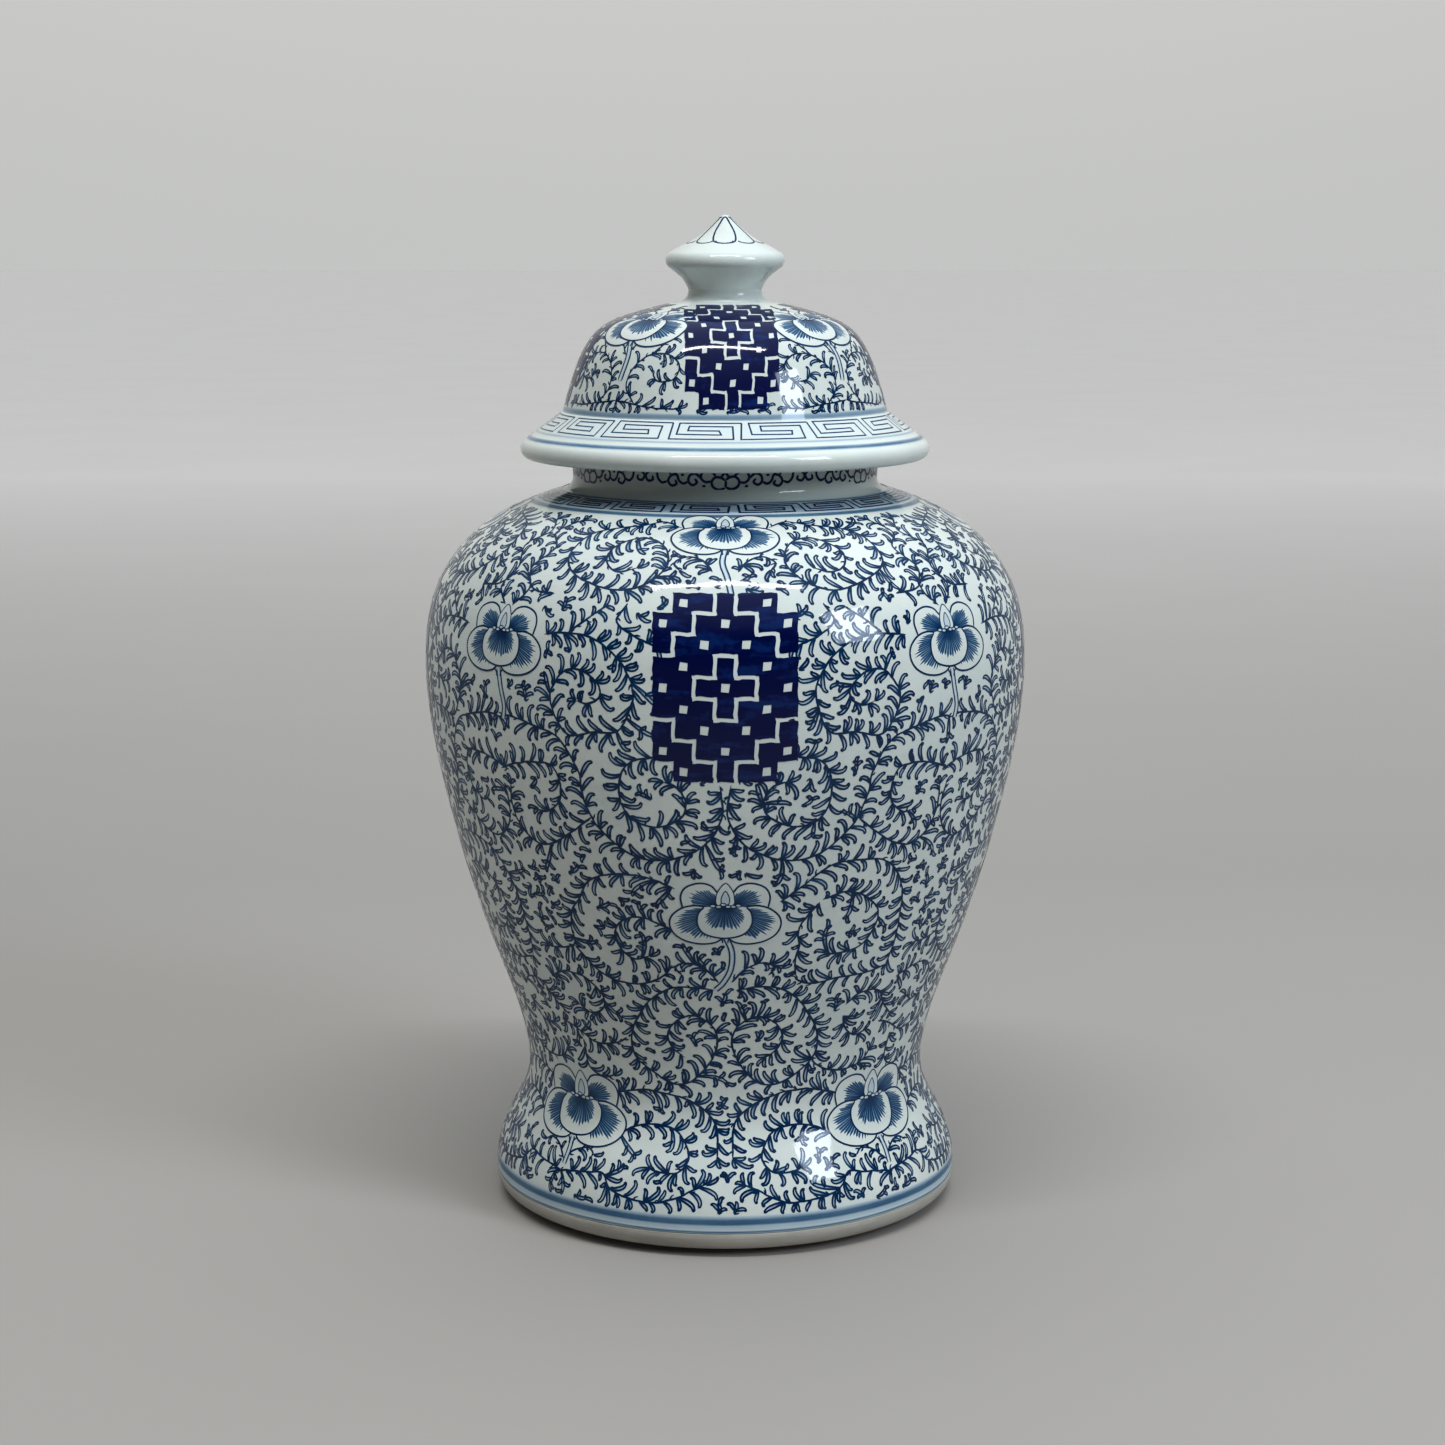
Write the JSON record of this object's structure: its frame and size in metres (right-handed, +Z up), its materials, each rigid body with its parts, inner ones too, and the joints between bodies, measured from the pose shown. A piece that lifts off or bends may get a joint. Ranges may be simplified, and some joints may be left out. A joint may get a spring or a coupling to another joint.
{
  "type": "ginger jar",
  "caption": "Tall porcelain baluster jar with a flanged, domed lid and a pointed finial, painted all over with blue scrolling vines and flowers.",
  "frame": {"origin": "on the jar's axis, in the plane that the foot ring stands on", "axes": "+Z up along the jar's axis, through the finial; -Y is the side seen as the front, with a painted panel facing it"},
  "size_m": [0.2792, 0.2792, 0.46],
  "materials": {
    "porcelain_glaze": "clear glossy glaze with a faint blue-green tint",
    "bare_porcelain": "unglazed, smooth, matt",
    "cobalt_painting": "cobalt blue painting under the glossy glaze"
  },
  "bodies": {
    "jar": {"foot_ring": "bare_porcelain", "floor_disc": "porcelain_glaze", "foot_section": "porcelain_glaze", "lower_body": "porcelain_glaze", "upper_body": "porcelain_glaze", "neck_collar": "porcelain_glaze"},
    "lid": {"lid_locating_ring": "bare_porcelain", "lid_brim": "porcelain_glaze", "lid_dome": "porcelain_glaze", "finial": "porcelain_glaze"}
  },
  "joints": [
    {"name": "lid_lift", "type": "slide", "parent": "jar", "child": "lid", "axis": [0, 0, 1], "range_m": [0, 0.12]}
  ]
}
